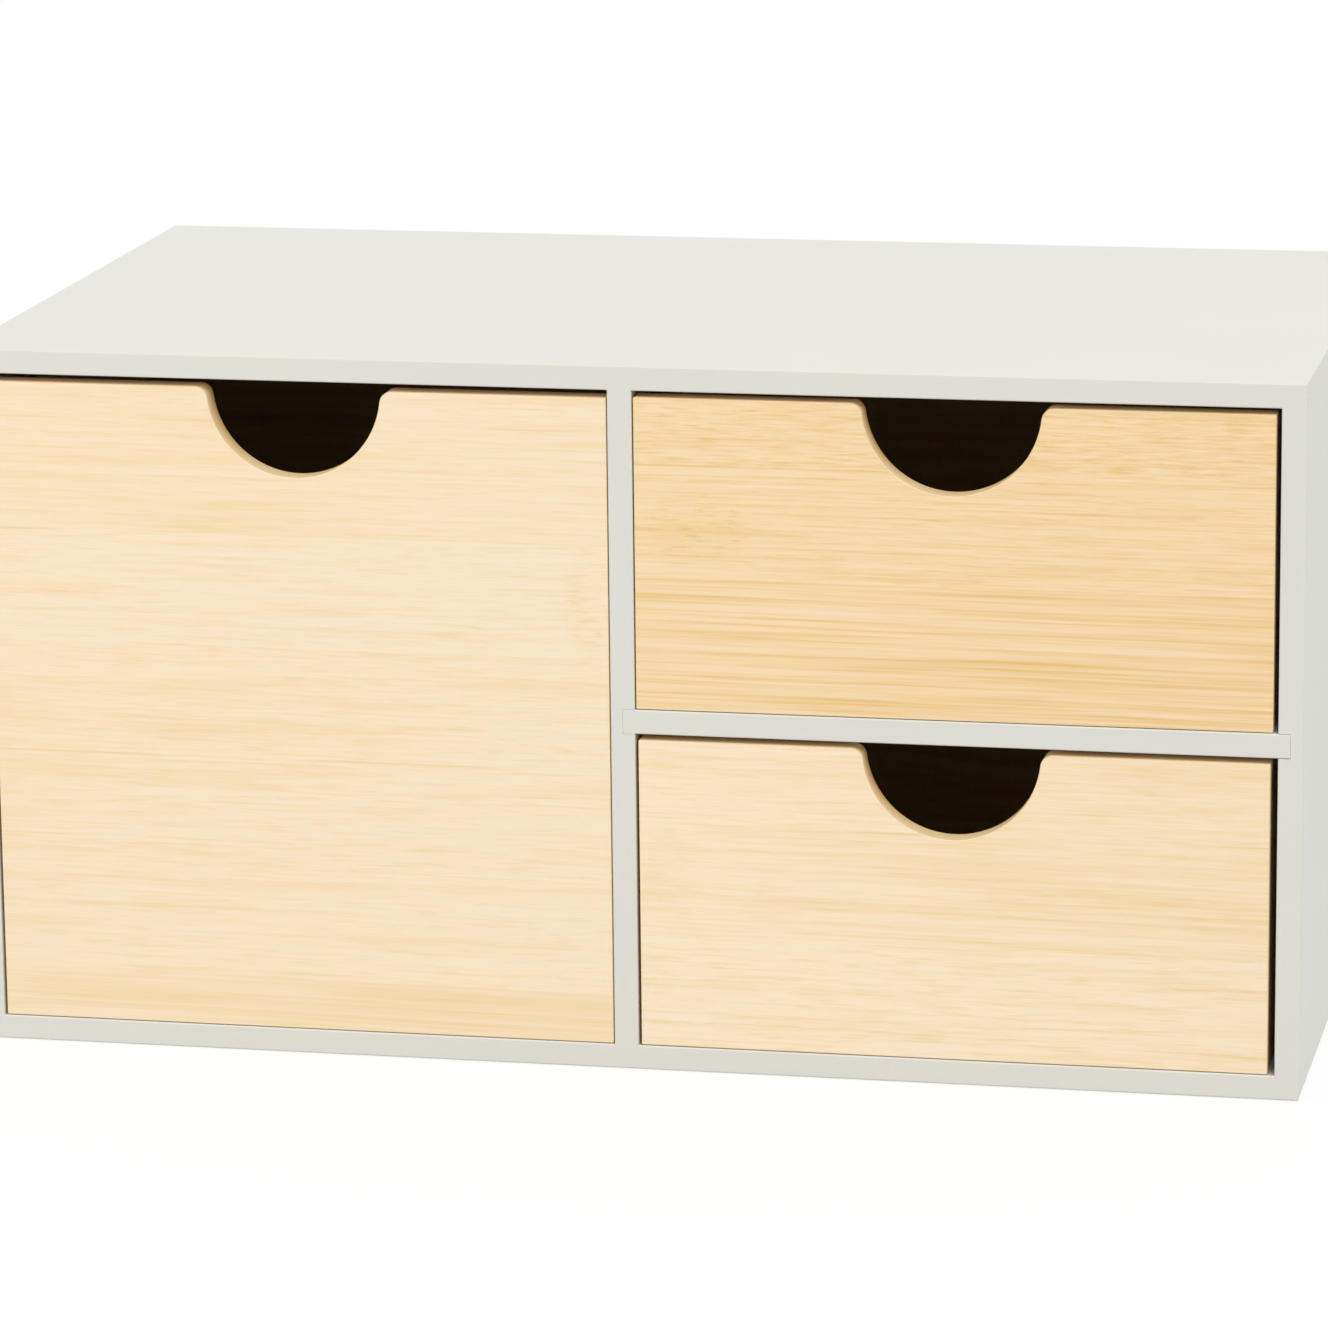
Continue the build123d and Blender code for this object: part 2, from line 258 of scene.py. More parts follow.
head = block(brad_rows, asked["Head Length"], asked["Gauge"], asked["Head Height"], 0.0)
rounding = {"Mesh": head, "Level": 3, "Edge Crease": 0.8}
head = put(brad_rows, "GeometryNodeSubdivisionSurface", rounding).outputs[0]
head = put(brad_rows, "GeometryNodeSetShadeSmooth", {0: head}).outputs[0]
neck = maths(brad_rows, "MULTIPLY", asked["Head Height"], -1.0)
below_head = maths(brad_rows, "ADD", asked["Length"], neck)
shank_length = maths(brad_rows, "SUBTRACT", below_head, asked["Tip Length"])
shank = block(brad_rows, asked["Shank Width"], asked["Gauge"], shank_length, neck)
tip_top = maths(brad_rows, "SUBTRACT", asked["Tip Length"], asked["Length"])
tip = block(brad_rows, asked["Shank Width"], asked["Gauge"], asked["Tip Length"], tip_top)
corner = brad_rows.nodes.new("GeometryNodeInputPosition").outputs[0]
corner_x, corner_y, corner_z = split(brad_rows, corner)
above_point = maths(brad_rows, "ADD", corner_z, asked["Length"])
taper = maths(brad_rows, "DIVIDE", above_point, asked["Tip Length"])
chisel = joined(brad_rows, maths(brad_rows, "MULTIPLY", corner_x, taper), corner_y, corner_z)
tip = put(brad_rows, "GeometryNodeSetPosition", {"Geometry": tip, "Position": chisel}).outputs[0]
brad = brad_rows.nodes.new("GeometryNodeJoinGeometry")
for length_of_wire in (tip, shank, head):
    brad_rows.links.new(length_of_wire, brad.inputs[0])

outward, along = (
    put(brad_rows, "GeometryNodeInputNamedAttribute", {"Name": label}, data_type="FLOAT_VECTOR").outputs[0]
    for label in ("outward", "along")
)
depth = random_number(brad_rows, 0.0, asked["Sink"], asked["Seed"])
sunk = scaled(brad_rows, outward, maths(brad_rows, "MULTIPLY", depth, -1.0))
points = put(brad_rows, "GeometryNodeSetPosition", {"Geometry": asked["Geometry"], "Offset": sunk}).outputs[0]
facing = put(
    brad_rows, "FunctionNodeAxesToRotation", {"Primary Axis": outward, "Secondary Axis": along},
    primary_axis="Z", secondary_axis="X",
).outputs[0]
least_turn = maths(brad_rows, "MULTIPLY", asked["Turn"], -1.0)
angle = random_number(brad_rows, least_turn, asked["Turn"], asked["Seed"])
about_shank = {"Axis": (0.0, 0.0, 1.0), "Angle": angle}
turn = put(brad_rows, "FunctionNodeAxisAngleToRotation", about_shank).outputs[0]
facing = put(
    brad_rows, "FunctionNodeRotateRotation", {"Rotation": facing, "Rotate By": turn}, rotation_space="LOCAL"
).outputs[0]
setting = {"Points": points, "Instance": brad.outputs[0], "Rotation": facing}
driven = put(brad_rows, "GeometryNodeInstanceOnPoints", setting).outputs[0]
driven = put(brad_rows, "GeometryNodeRealizeInstances", {"Geometry": driven}).outputs[0]
steel = {"Geometry": driven, "Material": asked["Material"]}
driven = put(brad_rows, "GeometryNodeSetMaterial", steel).outputs[0]
brad_rows.links.new(driven, brad_rows.nodes.new("NodeGroupOutput").inputs[0])


def add_object(name, data):
    """Links a new object into the scene."""
    made = bpy.data.objects.new(name, data)
    bpy.context.scene.collection.objects.link(made)
    return made


def drive_brads(name, body, places, values):
    """Drives brads into one body; a place is a point, the way its head faces and the way the head lies."""
    mesh = bpy.data.meshes.new(name)
    mesh.from_pydata([point for point, _, _ in places], [], [])
    for label, column in (("outward", 1), ("along", 2)):
        flat = [value for place in places for value in place[column]]
        mesh.attributes.new(label, "FLOAT_VECTOR", "POINT").data.foreach_set("vector", flat)
    made = add_object(name, mesh)
    rows = made.modifiers.new("brad_rows", "NODES")
    rows.node_group = brad_rows
    for socket in brad_rows.interface.items_tree:
        if socket.in_out == "INPUT" and socket.name in values:
            rows[socket.identifier] = values[socket.name]
    evaluated = made.evaluated_get(bpy.context.evaluated_depsgraph_get())
    made.data = bpy.data.meshes.new_from_object(evaluated)
    made.data.materials.pop(index=0)  # the nodes leave an empty slot before the steel
    made.modifiers.remove(rows)
    made.data.name = name
    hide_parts(name.removesuffix("_heads"))
    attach(made, body)


# Back panel: thin hard board let into the rear rabbets, sprayed with the same
# paint in one lighter coat, and held by brads round its edge, down the divider
# and in the shelf, whose heads stay in sight.
back_paint = paint_finish(
    "back_paint", light=(0.71, 0.7, 0.64, 1.0), dark=(0.67, 0.66, 0.6, 1.0),
    roughness=0.6, relief=0.00002, peel_size=0.9, edge_axis="X",
)
finish_pieces(back_paint, "back_panel")
EDGE_INSET = 0.00145
WIDTH_SHARES = (0.07, 0.36, 0.64, 0.93)
HEIGHT_SHARES = (0.33, 0.67)
BACK_BRAD_LENGTH = 0.01
BACK_BRAD_SEED = 3


def between(first, second, share):
    """A number that lies a share of the way from one to another."""
    return first + share * (second - first)


panel_low, panel_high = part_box("back_panel")
divider_low, divider_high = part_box("centre_divider")
shelf_low, shelf_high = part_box("right_shelf")
inner_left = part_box("left_side_panel")[1].x
inner_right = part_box("right_side_panel")[0].x
inner_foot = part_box("bottom_panel")[1].z
inner_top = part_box("top_panel")[0].z
rows_z = (panel_low.z + EDGE_INSET, panel_high.z - EDGE_INSET)
divider_x = between(divider_low.x, divider_high.x, 0.5)
columns_x = (panel_low.x + EDGE_INSET, divider_x, panel_high.x - EDGE_INSET)
back_places = [(between(inner_left, inner_right, share), z) for share in WIDTH_SHARES for z in rows_z]
back_places += [(x, between(inner_foot, inner_top, share)) for x in columns_x for share in HEIGHT_SHARES]
back_places += [(between(shelf_low.x, shelf_high.x, 0.5), between(shelf_low.z, shelf_high.z, 0.5))]
drive_brads(
    "back_panel_brads_heads", "carcass",
    [((x, panel_high.y, z), (0.0, 1.0, 0.0), (1.0, 0.0, 0.0)) for x, z in back_places],
    {"Length": BACK_BRAD_LENGTH, "Seed": BACK_BRAD_SEED, "Material": brad_steel},
)


# Drawer boxes: pale plywood walls, rabbeted at the corners, grooved for the
# bottom, glued and bradded through the sides, sanded and left bare. The cut
# edges show the plies.
SWAY_LENGTH = 70.0
SWAY_WIDTH = 25.0
FIBRE_GRIT = 0.65
WIDE_LAYER_SHARE = 0.15
grain, grain_in, grain_out = start_group(
    "long_grain",
    {
        "Place": (0.0, 0.0, 0.0), "Fibre Length": 9.0, "Fibre Width": 0.5,
        "Long Lines": 0.0, "Wander": 0.8, "Seed": 0.0,
    },
    {"Fine": "NodeSocketFloat", "Dash": "NodeSocketFloat", "Streak": "NodeSocketFloat"},
)
along, across, up = split(grain, grain_in["Place"])
sway_run = maths(grain, "DIVIDE", along, SWAY_LENGTH)
sway_row = maths(grain, "DIVIDE", up, SWAY_WIDTH)
sway = noise(grain, joined(grain, sway_run, grain_in["Seed"], sway_row), detail=1.0)
swayed = maths(grain, "MULTIPLY_ADD", maths(grain, "SUBTRACT", sway, 0.5), grain_in["Wander"], up)
run = maths(grain, "DIVIDE", along, grain_in["Fibre Length"])
row = maths(grain, "DIVIDE", swayed, grain_in["Fibre Width"])
layer = maths(grain, "ADD", maths(grain, "DIVIDE", across, grain_in["Fibre Width"]), grain_in["Seed"])


def elsewhere(run_share, run_start, row_share, row_start, in_layer):
    """A stretched place in the grain, moved on so that no two kinds of line share a pattern."""
    moved_run = maths(grain, "MULTIPLY_ADD", run, run_share, run_start)
    moved_row = maths(grain, "MULTIPLY_ADD", row, row_share, row_start)
    return joined(grain, moved_run, in_layer, moved_row)


line_place = elsewhere(run_share=0.12, run_start=87.0, row_share=0.8, row_start=53.0, in_layer=layer)
dash_place = elsewhere(run_share=0.9, run_start=41.0, row_share=0.7, row_start=17.0, in_layer=layer)
wide_layer = maths(grain, "MULTIPLY", layer, WIDE_LAYER_SHARE)
wide_place = elsewhere(run_share=0.2, run_start=63.0, row_share=0.22, row_start=29.0, in_layer=wide_layer)
short = noise(grain, joined(grain, run, layer, row), detail=3.0, roughness=FIBRE_GRIT)
long_line = noise(grain, line_place, detail=3.0, roughness=FIBRE_GRIT)
longer = maths(grain, "MULTIPLY", maths(grain, "SUBTRACT", long_line, short), grain_in["Long Lines"])
dash = noise(grain, dash_place, detail=1.0)
wide = noise(grain, wide_place)
grain.links.new(maths(grain, "ADD", short, longer), grain_out["Fine"])
grain.links.new(ramp(grain, dash, 0.6, 0.8), grain_out["Dash"])
grain.links.new(ramp(grain, wide, 0.3, 0.7), grain_out["Streak"])

# the cut edge of a sheet: every second ply shows its ends, with glue between
GLUE_RANGE = (0.4, 0.48)
plies, plies_in, plies_out = start_group(
    "ply_layers",
    {"Depth": 0.0, "Sheet": 5.0, "Plies": 5.0},
    {"End Grain": "NodeSocketFloat", "Glue Line": "NodeSocketFloat"},
)
sheet_share = maths(plies, "DIVIDE", plies_in["Depth"], plies_in["Sheet"])
ply_number = maths(plies, "MULTIPLY", sheet_share, plies_in["Plies"])
odd_ply = maths(plies, "FLOORED_MODULO", maths(plies, "FLOOR", ply_number), 2.0)
in_ply = maths(plies, "SUBTRACT", maths(plies, "FRACT", ply_number), 0.5)
plies.links.new(odd_ply, plies_out["End Grain"])
plies.links.new(ramp(plies, maths(plies, "ABSOLUTE", in_ply), *GLUE_RANGE), plies_out["Glue Line"])

AXES = "XYZ"
PALE_VENEER = (0.72, 0.55, 0.35, 1.0)
DEEP_VENEER = (0.64, 0.46, 0.27, 1.0)
PORE_BROWN = (0.5, 0.33, 0.17, 1.0)
PORE_RANGE = (0.5, 0.75)
PORE_SHARE = 0.5
PORE_DEPTH = 0.00004
PORE_ROUGHENING = 0.1
VENEER_ROUGHNESS = 0.62
DARK_PLY_END = (0.5, 0.35, 0.2, 1.0)
PALE_PLY_END = (0.62, 0.45, 0.27, 1.0)
END_PORE_SIZE = (0.3, 0.3, 0.3)
GLUE_BROWN = (0.3, 0.19, 0.1, 1.0)
GLUE_SHARE = 0.6


def plywood_finish(name, thickness_axis, start, sheet, ply_count, grain_axis, seed):
    """Bare plywood; start is the low face of the sheet along thickness_axis, in millimetres."""
    material, tree, shader, place, normal = start_material(name)
    along_axis = split(tree, place)
    other_axis = next(axis for axis in AXES if axis not in (thickness_axis, grain_axis))
    turned = joined(tree, along_axis[grain_axis], along_axis[thickness_axis], along_axis[other_axis])
    face = place_group(tree, grain, {
        "Place": turned, "Fibre Length": 26.0, "Fibre Width": 0.9,
        "Long Lines": 0.4, "Wander": 14.0, "Seed": seed,
    })
    pore = ramp(tree, face["Fine"], *PORE_RANGE)
    depth = maths(tree, "SUBTRACT", along_axis[thickness_axis], start)
    edge = place_group(tree, plies, {"Depth": depth, "Sheet": sheet, "Plies": ply_count})
    facing = split(tree, normal)[thickness_axis]
    cut_edge = maths(tree, "SUBTRACT", 1.0, ramp(tree, maths(tree, "ABSOLUTE", facing), *FACING_RANGE))
    colour = blend(tree, face["Streak"], PALE_VENEER, DEEP_VENEER)
    colour = blend(tree, maths(tree, "MULTIPLY", pore, PORE_SHARE), colour, PORE_BROWN)
    end_pores = noise(tree, stretched(tree, place, END_PORE_SIZE))
    end_colour = blend(tree, end_pores, DARK_PLY_END, PALE_PLY_END)
    ply_colour = blend(tree, edge["End Grain"], colour, end_colour)
    ply_colour = blend(tree, maths(tree, "MULTIPLY", edge["Glue Line"], GLUE_SHARE), ply_colour, GLUE_BROWN)
    colour = blend(tree, cut_edge, colour, ply_colour)
    tree.links.new(colour, shader.inputs["Base Color"])
    matt = maths(tree, "MULTIPLY_ADD", pore, PORE_ROUGHENING, VENEER_ROUGHNESS)
    tree.links.new(matt, shader.inputs["Roughness"])
    raise_surface(tree, shader, maths(tree, "SUBTRACT", 1.0, face["Fine"]), PORE_DEPTH)
    return material


DRAWERS = ("large_drawer", "upper_drawer", "lower_drawer")
WALLS = (("left_side", "X", "Y"), ("right_side", "X", "Y"), ("back", "Y", "X"))
WALL_PLIES = 5.0
DRAWER_SEED_STEP = 3.7
SEEDS_PER_METRE = 90.0
for number, drawer in enumerate(DRAWERS):
    for wall, thickness_axis, grain_axis in WALLS:
        low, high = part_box(f"{drawer}_{wall}")
        start = MM_PER_METRE * low[AXES.index(thickness_axis)]
        thickness = MM_PER_METRE * high[AXES.index(thickness_axis)] - start
        wall_seed = DRAWER_SEED_STEP * number + SEEDS_PER_METRE * low.x
        wood = plywood_finish(
            f"{drawer}_{wall}_ply", thickness_axis, start, thickness, WALL_PLIES, grain_axis, wall_seed
        )
        finish_pieces(wood, f"{drawer}_{wall}")

# Drawer bottoms: thin three-ply sheets, loose in the grooves of the walls and
# the front, with the grain running across the drawer.
BOTTOM_PLIES = 3.0
FIRST_BOTTOM_SEED = 11.3
BOTTOM_SEED_STEP = 5.1
for number, drawer in enumerate(DRAWERS):
    low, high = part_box(f"{drawer}_bottom")
    start = MM_PER_METRE * low.z
    thickness = MM_PER_METRE * high.z - start
    bottom_seed = FIRST_BOTTOM_SEED + BOTTOM_SEED_STEP * number
    wood = plywood_finish(f"{drawer}_bottom_ply", "Z", start, thickness, BOTTOM_PLIES, "X", bottom_seed)
    finish_pieces(wood, f"{drawer}_bottom")

# Drawer brads: the same wire brads, shot through the side walls into the front
# and into the back wall, three to a corner on the tall box and two on a low one.
FRONT_INSET = 0.00145
BACK_INSET = 0.0025
TALL_SHARES = (0.16, 0.5, 0.84)
LOW_SHARES = (0.3, 0.75)
FIRST_DRAWER_BRAD_SEED = 11
for number, drawer in enumerate(DRAWERS):
    left_low, left_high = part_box(f"{drawer}_left_side")
    _, right_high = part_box(f"{drawer}_right_side")
    places = [
        ((x, y, between(left_low.z, left_high.z, share)), (hand, 0.0, 0.0), (0.0, 0.0, 1.0))
        for x, hand in ((left_low.x, -1.0), (right_high.x, 1.0))
        for y in (left_low.y + FRONT_INSET, left_high.y - BACK_INSET)
        for share in (TALL_SHARES if drawer == "large_drawer" else LOW_SHARES)
    ]
    drive_brads(
        f"{drawer}_brads_heads", drawer, places,
        {"Seed": FIRST_DRAWER_BRAD_SEED + number, "Material": brad_steel},
    )


# Drawer fronts: boards of flat-pressed bamboo strips glued edge to edge, with
# the grain across, sanded, lacquered matt and cut out with a half-round finger
# notch, which turned the cut edges browner; painted shade darkens them further towards the back and near the
# top. Each front comes from another board.
JOINT_HALF_WIDTH = (0.05, 0.4)
JOINT_PATCH_SIZE = (45.0, 9.0, 9.0)
JOINT_PATCH_RANGE = (0.45, 0.65)
strips, strips_in, strips_out = start_group(
    "glued_strips",
    {"Place": (0.0, 0.0, 0.0), "Strip Width": 28.0, "First Joint": 0.0},
    {"Number": "NodeSocketFloat", "Joint": "NodeSocketFloat"},
)
above_joint = maths(strips, "SUBTRACT", split(strips, strips_in["Place"])["Z"], strips_in["First Joint"])
strip_place = maths(strips, "DIVIDE", above_joint, strips_in["Strip Width"])
strips.links.new(maths(strips, "FLOOR", strip_place), strips_out["Number"])
off_centre = maths(strips, "ABSOLUTE", maths(strips, "SUBTRACT", maths(strips, "FRACT", strip_place), 0.5))
from_joint = maths(strips, "MULTIPLY", maths(strips, "SUBTRACT", 0.5, off_centre), strips_in["Strip Width"])
joint_line = maths(strips, "SUBTRACT", 1.0, ramp(strips, from_joint, *JOINT_HALF_WIDTH))
joint_patches = noise(strips, stretched(strips, strips_in["Place"], JOINT_PATCH_SIZE), detail=1.0)
seen_joint = maths(strips, "MULTIPLY", joint_line, ramp(strips, joint_patches, *JOINT_PATCH_RANGE))
strips.links.new(seen_joint, strips_out["Joint"])

# every strip has its own piece of grain, which leans a little
STRIP_SHIFT = 137.0
STRIP_DEPTH = 31.0
laid, laid_in, laid_out = start_group(
    "laid_strip",
    {"Place": (0.0, 0.0, 0.0), "Number": 0.0, "Lean": 0.0},
    {"Place": "NodeSocketVector"},
)
along, across, up = split(laid, laid_in["Place"])
leaning = maths(laid, "MULTIPLY_ADD", along, laid_in["Lean"], up)
shifted = maths(laid, "MULTIPLY_ADD", laid_in["Number"], STRIP_SHIFT, along)
deeper = maths(laid, "MULTIPLY_ADD", laid_in["Number"], STRIP_DEPTH, across)
laid.links.new(joined(laid, shifted, deeper, leaning), laid_out["Place"])

# where a culm had a knuckle, the fibres break up into short dark marks
RAGGED_SIZE = (6.0, 6.0, 2.5)
RAGGED_REACH = 1.6
KNUCKLE_RANGE = (0.1, 1.2)
MARK_SIZE = (5.0, 1.0, 0.6)
MARK_RANGE = (0.5, 0.72)
knuckle, knuckle_in, knuckle_out = start_group(
    "knuckle",
    {
        "Place": (0.0, 0.0, 0.0), "Centre": (0.0, 0.0, 0.0), "Half Length": 12.0,
        "Half Height": 9.0, "Seed": 0.0,
    },
    {"Mask": "NodeSocketFloat", "Marks": "NodeSocketFloat"},
)
from_centre = {0: knuckle_in["Place"], 1: knuckle_in["Centre"]}
offset = put(knuckle, "ShaderNodeVectorMath", from_centre, operation="SUBTRACT").outputs[0]
off_x, _, off_z = split(knuckle, offset)
share_x = maths(knuckle, "POWER", maths(knuckle, "DIVIDE", off_x, knuckle_in["Half Length"]), 2.0)
share_z = maths(knuckle, "POWER", maths(knuckle, "DIVIDE", off_z, knuckle_in["Half Height"]), 2.0)
reach = maths(knuckle, "ADD", share_x, share_z)
ragged = noise(knuckle, stretched(knuckle, knuckle_in["Place"], RAGGED_SIZE))
reach = maths(knuckle, "MULTIPLY_ADD", maths(knuckle, "SUBTRACT", ragged, 0.5), RAGGED_REACH, reach)
mask = maths(knuckle, "SUBTRACT", 1.0, ramp(knuckle, reach, *KNUCKLE_RANGE))
moved_on = {
    0: stretched(knuckle, knuckle_in["Place"], MARK_SIZE),
    1: joined(knuckle, knuckle_in["Seed"], 0.0, 0.0),
}
mark_place = put(knuckle, "ShaderNodeVectorMath", moved_on, operation="ADD").outputs[0]
short_marks = ramp(knuckle, noise(knuckle, mark_place), *MARK_RANGE)
knuckle.links.new(mask, knuckle_out["Mask"])
knuckle.links.new(maths(knuckle, "MULTIPLY", mask, short_marks), knuckle_out["Marks"])

MOST_STRIPS = 8
LEAN_RANGE = 0.1
STREAK_POWER = 2.5
STREAK_MEAN = 0.29
STREAK_SHARE = 0.5
FIBRE_STEEPNESS = 0.66
DASH_SHARE = 0.4
DASH_LOSS_IN_LINES = 0.3
FIBRE_LOSS_IN_KNUCKLES = 0.35
KNUCKLE_TINT = 0.1
GLEAM_SHARE = 1.3
JOINT_SHARE = 0.6
FIBRE_DEPTH = 0.000005
LACQUER_ROUGHNESS = 0.45
FIBRE_ROUGHENING = 0.1

# the inner colours hold painted shade: a cut edge darkens towards the back of the board, where the notch and
# the gaps round the front lie in shade
OUTER_END_GRAIN = (0.97, 0.7, 0.4, 1.0)
SHADED_INNER_END_GRAIN = (0.7, 0.38, 0.08, 1.0)
OUTER_SIDE_GRAIN = (0.98, 0.765, 0.46, 1.0)
SHADED_INNER_SIDE_GRAIN = (0.97, 0.69, 0.32, 1.0)
# an orange-brown painted shade on the side grain near the top of a front, where the gap under the top board
# shades the top edge
TOP_EDGE_SHADE_BROWN = (0.89, 0.62, 0.335, 1.0)
TOP_EDGE_SHADE_REACH = 9.0
TOP_EDGE_SHADE_FULL = 0.5
EDGE_FIBRE = (0.6, 0.35, 0.12, 1.0)
EDGE_FIBRE_SHARE = 0.4
CUT_FACING_RANGE = (0.75, 0.98)
END_FACING_RANGE = (0.3, 1.0)
CUT_SHARE = 0.85
CUT_ROUGHENING = 0.55


def bamboo_finish(
    node, pale, deep, fibre, gleam, fibre_size, contrast, first_joint, first_strip, picked, seed, knuckles
):
    """Lacquered bamboo for one front. fibre_size is a fibre's length and width in millimetres. picked
    holds, for each strip from the foot up, its tone at the left end, long lines, lean and tone at the
    right end, from 0 to 1; where the right end is deeper on every strip of a front, that is partly
    painted shade of the light falling off to the right. knuckles holds centre x and z, half length and
    half height in millimetres, and strength."""
    low, high = (MM_PER_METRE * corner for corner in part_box(node))
    material, tree, shader, place, normal = start_material(f"{node}_bamboo")

    # each strip is given its own tone, lines and lean
    strip = place_group(tree, strips, {"Place": place, "First Joint": first_joint})
    count = maths(tree, "SUBTRACT", strip["Number"], first_strip - 0.5)
    chooser = put(tree, "ShaderNodeValToRGB", {0: maths(tree, "DIVIDE", count, float(MOST_STRIPS))})
    chooser.color_ramp.interpolation = "CONSTANT"
    chooser.color_ramp.elements[0].color = picked[0]
    chooser.color_ramp.elements[1].position = 1.0
    for number, choice in enumerate(picked[1:], 1):
        chooser.color_ramp.elements.new(number / MOST_STRIPS).color = choice
    left_tone, lines, lean = put(tree, "ShaderNodeSeparateColor", {0: chooser.outputs[0]}).outputs
    lean = maths(tree, "MULTIPLY", maths(tree, "SUBTRACT", lean, 0.5), LEAN_RANGE)
    own_place = place_group(tree, laid, {"Place": place, "Number": strip["Number"], "Lean": lean})["Place"]
    look = place_group(tree, grain, {
        "Place": own_place, "Fibre Length": fibre_size[0], "Fibre Width": fibre_size[1],
        "Long Lines": lines, "Wander": 1.0, "Seed": seed,
    })

    # the ground tone goes from the strip's left tone to its right one, with slow streaks; where every strip
    # of a front gets deeper to the right, that step is partly painted shade of light falling off to the right
    along, depth, up = split(tree, place)
    to_right = maths(tree, "DIVIDE", maths(tree, "SUBTRACT", along, low.x), high.x - low.x)
    tone_change_and_shade = maths(tree, "SUBTRACT", chooser.outputs["Alpha"], left_tone)
    tone = maths(tree, "MULTIPLY_ADD", to_right, tone_change_and_shade, left_tone)
    streak = maths(tree, "SUBTRACT", maths(tree, "POWER", look["Streak"], STREAK_POWER), STREAK_MEAN)
    colour = blend(tree, maths(tree, "MULTIPLY_ADD", streak, STREAK_SHARE, tone), pale, deep)

    # a knuckle breaks up the dark fibres and has marks of its own
    broken = 0.0
    marks = 0.0
    for centre_x, centre_z, half_length, half_height, strength in knuckles:
        patch = place_group(tree, knuckle, {
            "Place": place, "Centre": (centre_x, 0.0, centre_z), "Half Length": half_length,
            "Half Height": half_height, "Seed": seed + centre_x,
        })
        broken = maths(tree, "MAXIMUM", broken, patch["Mask"])
        marks = maths(tree, "MAXIMUM", marks, maths(tree, "MULTIPLY", patch["Marks"], strength))

    # dark fibres and dashes, with pale ones gleaming between them, over the ground tone
    swing = maths(tree, "MULTIPLY_ADD", look["Fine"], 2.0, -1.0)
    steeper = maths(tree, "MULTIPLY_ADD", swing, FIBRE_STEEPNESS * contrast, contrast)
    darker = maths(tree, "MULTIPLY", swing, steeper)
    rare = maths(tree, "MULTIPLY_ADD", lines, -DASH_LOSS_IN_LINES * contrast, DASH_SHARE * contrast)
    whole = maths(tree, "MULTIPLY_ADD", broken, -FIBRE_LOSS_IN_KNUCKLES, 1.0)
    dark = maths(tree, "MAXIMUM", darker, maths(tree, "MULTIPLY", look["Dash"], rare))
    dark = maths(tree, "MULTIPLY", dark, whole)
    colour = blend(tree, dark, colour, fibre)
    colour = blend(tree, maths(tree, "MULTIPLY", darker, -GLEAM_SHARE), colour, gleam)
    colour = blend(tree, maths(tree, "MULTIPLY_ADD", broken, KNUCKLE_TINT, marks), colour, fibre)
    colour = blend(tree, maths(tree, "MULTIPLY", strip["Joint"], JOINT_SHARE), colour, fibre)

    # cut edges are duller and browner, and carry painted shade: darker towards the back of the board, most of
    # all on the end grain, and an orange-brown painted shade on the side grain near the top, which lies in
    # the shade of the gap above
    sideways, facing, _ = split(tree, normal)
    flat = ramp(tree, maths(tree, "ABSOLUTE", facing), *CUT_FACING_RANGE)
    cut_edge = maths(tree, "SUBTRACT", 1.0, flat)
    # painted shade: the cut edges grow darker and browner towards the back, where the notch and the gaps are
    # in shade
    inward_shade = ramp(tree, depth, low.y, high.y)
    end_grain_and_shade = blend(tree, inward_shade, OUTER_END_GRAIN, SHADED_INNER_END_GRAIN)
    side_grain_and_shade = blend(tree, inward_shade, OUTER_SIDE_GRAIN, SHADED_INNER_SIDE_GRAIN)
    # painted shade on the top edge and the upper notch, which lie in the shade of the gap above
    near_top_shade = ramp(tree, up, high.z - TOP_EDGE_SHADE_REACH, high.z - TOP_EDGE_SHADE_FULL)
    side_grain_and_shade = blend(tree, near_top_shade, side_grain_and_shade, TOP_EDGE_SHADE_BROWN)
    at_ends = ramp(tree, maths(tree, "ABSOLUTE", sideways), *END_FACING_RANGE)
    edge_brown_and_shade = blend(tree, at_ends, side_grain_and_shade, end_grain_and_shade)
    edge_brown_and_shade = blend(tree, maths(tree, "MULTIPLY", dark, EDGE_FIBRE_SHARE), edge_brown_and_shade, EDGE_FIBRE)
    colour = blend(tree, maths(tree, "MULTIPLY", cut_edge, CUT_SHARE), colour, edge_brown_and_shade)
    tree.links.new(colour, shader.inputs["Base Color"])
    lacquered = maths(tree, "MULTIPLY_ADD", dark, FIBRE_ROUGHENING, LACQUER_ROUGHNESS)
    matt = maths(tree, "MULTIPLY_ADD", cut_edge, CUT_ROUGHENING, lacquered)
    tree.links.new(matt, shader.inputs["Roughness"])
    raise_surface(tree, shader, maths(tree, "SUBTRACT", 1.0, dark), FIBRE_DEPTH)
    finish_pieces(material, node)


